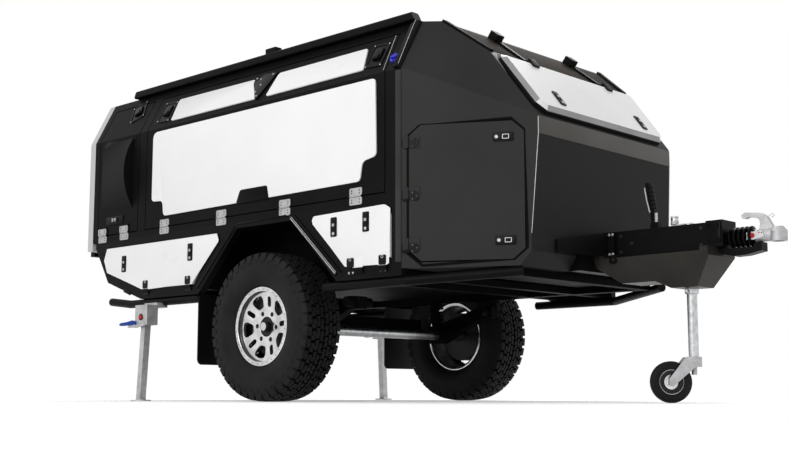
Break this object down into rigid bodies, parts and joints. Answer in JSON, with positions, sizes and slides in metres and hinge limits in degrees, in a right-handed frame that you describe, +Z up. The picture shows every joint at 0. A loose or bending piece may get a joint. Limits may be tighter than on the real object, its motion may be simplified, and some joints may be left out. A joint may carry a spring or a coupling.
{
  "type": "off-road camping trailer",
  "caption": "Faceted off-road camping trailer with white drop-down side hatches, folding nose, corner legs and a jockey wheel.",
  "frame": {"origin": "on the ground under the middle of the trailer, from bumper to coupling", "axes": "+X forward along the drawbar, +Y to the left, +Z up"},
  "size_m": [4.313, 2.1456, 1.974],
  "materials": {
    "body_paint": "satin dark charcoal paint",
    "white_paint": "gloss white composite skin",
    "frame_paint": "satin black powder coat",
    "galvanised": "zinc plated steel",
    "alloy": "machined alloy",
    "tyre_rubber": "matt black tyre",
    "black_rubber": "matt black rubber",
    "dark_plastic": "matt dark plastic",
    "lining": "grey composite board",
    "cast_hub": "painted cast iron",
    "arm_paint": "grey satin paint"
  },
  "bodies": {
    "trailer": {"cabin_sides": "body_paint", "roof_panel": "body_paint", "roof_rails": "frame_paint", "cabin_floor": "lining", "front_bulkhead": "lining", "rear_wall": "white_paint", "rear_bumper": "frame_paint", "side_hinges": "galvanised", "side_frames": "frame_paint", "locker_boxes": "dark_plastic", "side_tubes": "frame_paint", "chassis_frame": "frame_paint", "cross_members": "frame_paint", "wheel_housings": "frame_paint", "axle_beam": "galvanised", "water_tank": "dark_plastic", "nose_sides": "body_paint", "nose_top": "body_paint", "front_hatch_frame": "body_paint", "nose_front": "body_paint", "nose_floor": "frame_paint", "roof_brackets": "frame_paint", "drawbar": "frame_paint", "keel_box": "frame_paint", "bellows": "black_rubber", "coupling_head": "galvanised", "coupling_handle": "galvanised", "hand_brake": "frame_paint", "jockey_sleeve": "frame_paint", "trailing_arms": "arm_paint", "dampers": "frame_paint", "mudflaps": "black_rubber", "leg_heads": "alloy"},
    "wheel_right": {"rim_right": "alloy", "tyre_right": "tyre_rubber", "wheel_hub_right": "cast_hub"},
    "wheel_left": {"rim_left": "alloy", "tyre_left": "tyre_rubber", "wheel_hub_left": "cast_hub"},
    "jockey_mast": {"jockey_post": "galvanised"},
    "jockey_swivel": {"jockey_fork": "galvanised"},
    "jockey_wheel": {"jockey_rim": "alloy", "jockey_tyre": "black_rubber"},
    "main_hatch_right": {"main_hatch_right": "body_paint", "hatch_skins_right": "white_paint"},
    "main_hatch_left": {"main_hatch_left": "body_paint", "hatch_skins_left": "white_paint"},
    "small_hatch_right": {"small_hatch_right": "body_paint"},
    "small_hatch_left": {"small_hatch_left": "body_paint"},
    "rear_locker_lid_right": {"rear_locker_lid_right": "white_paint"},
    "rear_locker_lid_left": {"rear_locker_lid_left": "white_paint"},
    "front_locker_lid_right": {"front_locker_lid_right": "white_paint"},
    "front_locker_lid_left": {"front_locker_lid_left": "white_paint"},
    "nose_door_right": {"nose_door_right": "body_paint"},
    "nose_door_left": {"nose_door_left": "body_paint"},
    "front_hatch": {"front_hatch": "white_paint"},
    "tailgate": {"tailgate": "white_paint"},
    "corner_leg_right": {"corner_leg_right": "galvanised"},
    "corner_leg_left": {"corner_leg_left": "galvanised"}
  },
  "joints": [
    {"name": "wheel_right_turn", "type": "hinge", "parent": "trailer", "child": "wheel_right", "pos_m": [-0.418, -0.803, 0.4025], "axis": [0, 1, 0], "continuous": true},
    {"name": "wheel_left_turn", "type": "hinge", "parent": "trailer", "child": "wheel_left", "pos_m": [-0.418, 0.803, 0.4025], "axis": [0, 1, 0], "continuous": true},
    {"name": "jockey_mast_lift", "type": "slide", "parent": "trailer", "child": "jockey_mast", "axis": [0, 0, 1], "range_m": [-0.03, 0.2]},
    {"name": "jockey_swivel_turn", "type": "hinge", "parent": "jockey_mast", "child": "jockey_swivel", "pos_m": [1.667, 0, 0.22], "axis": [0, 0, 1], "continuous": true},
    {"name": "jockey_wheel_turn", "type": "hinge", "parent": "jockey_swivel", "child": "jockey_wheel", "pos_m": [1.58509, -0.07638, 0.098], "axis": [-0.682, 0.7314, 0], "continuous": true},
    {"name": "main_hatch_right_hinge", "type": "hinge", "parent": "trailer", "child": "main_hatch_right", "pos_m": [-0.473, -0.932, 1.02], "axis": [1, 0, 0], "range_deg": [0, 90]},
    {"name": "small_hatch_right_hinge", "type": "hinge", "parent": "trailer", "child": "small_hatch_right", "pos_m": [-1.769, -0.932, 1.02], "axis": [1, 0, 0], "range_deg": [0, 90]},
    {"name": "rear_locker_right_hinge", "type": "hinge", "parent": "trailer", "child": "rear_locker_lid_right", "pos_m": [-1.238, -0.933, 0.6567], "axis": [1, 0, 0], "range_deg": [0, 90]},
    {"name": "front_locker_right_hinge", "type": "hinge", "parent": "trailer", "child": "front_locker_lid_right", "pos_m": [0.444, -0.933, 0.6567], "axis": [1, 0, 0], "range_deg": [0, 90]},
    {"name": "nose_door_right_hinge", "type": "hinge", "parent": "trailer", "child": "nose_door_right", "pos_m": [0.67264, -0.91667, 1], "axis": [0, 0, -1], "range_deg": [0, 110]},
    {"name": "corner_leg_right_swing", "type": "hinge", "parent": "trailer", "child": "corner_leg_right", "pos_m": [-1.341, -0.99, 0.486], "axis": [0, 1, 0], "range_deg": [0, 90]},
    {"name": "main_hatch_left_hinge", "type": "hinge", "parent": "trailer", "child": "main_hatch_left", "pos_m": [-0.473, 0.932, 1.02], "axis": [-1, 0, 0], "range_deg": [0, 90]},
    {"name": "small_hatch_left_hinge", "type": "hinge", "parent": "trailer", "child": "small_hatch_left", "pos_m": [-1.769, 0.932, 1.02], "axis": [-1, 0, 0], "range_deg": [0, 90]},
    {"name": "rear_locker_left_hinge", "type": "hinge", "parent": "trailer", "child": "rear_locker_lid_left", "pos_m": [-1.238, 0.933, 0.6567], "axis": [-1, 0, 0], "range_deg": [0, 90]},
    {"name": "front_locker_left_hinge", "type": "hinge", "parent": "trailer", "child": "front_locker_lid_left", "pos_m": [0.444, 0.933, 0.6567], "axis": [-1, 0, 0], "range_deg": [0, 90]},
    {"name": "nose_door_left_hinge", "type": "hinge", "parent": "trailer", "child": "nose_door_left", "pos_m": [0.67264, 0.91667, 1], "axis": [0, 0, 1], "range_deg": [0, 110]},
    {"name": "corner_leg_left_swing", "type": "hinge", "parent": "trailer", "child": "corner_leg_left", "pos_m": [-1.341, 0.99, 0.486], "axis": [0, 1, 0], "range_deg": [0, 90]},
    {"name": "front_hatch_hinge", "type": "hinge", "parent": "trailer", "child": "front_hatch", "pos_m": [0.96372, 0, 1.70701], "axis": [0, -1, 0], "range_deg": [0, 85]},
    {"name": "tailgate_hinge", "type": "hinge", "parent": "trailer", "child": "tailgate", "pos_m": [-2.101, 0, 1.7973], "axis": [0, 1, 0], "range_deg": [0, 90]}
  ]
}
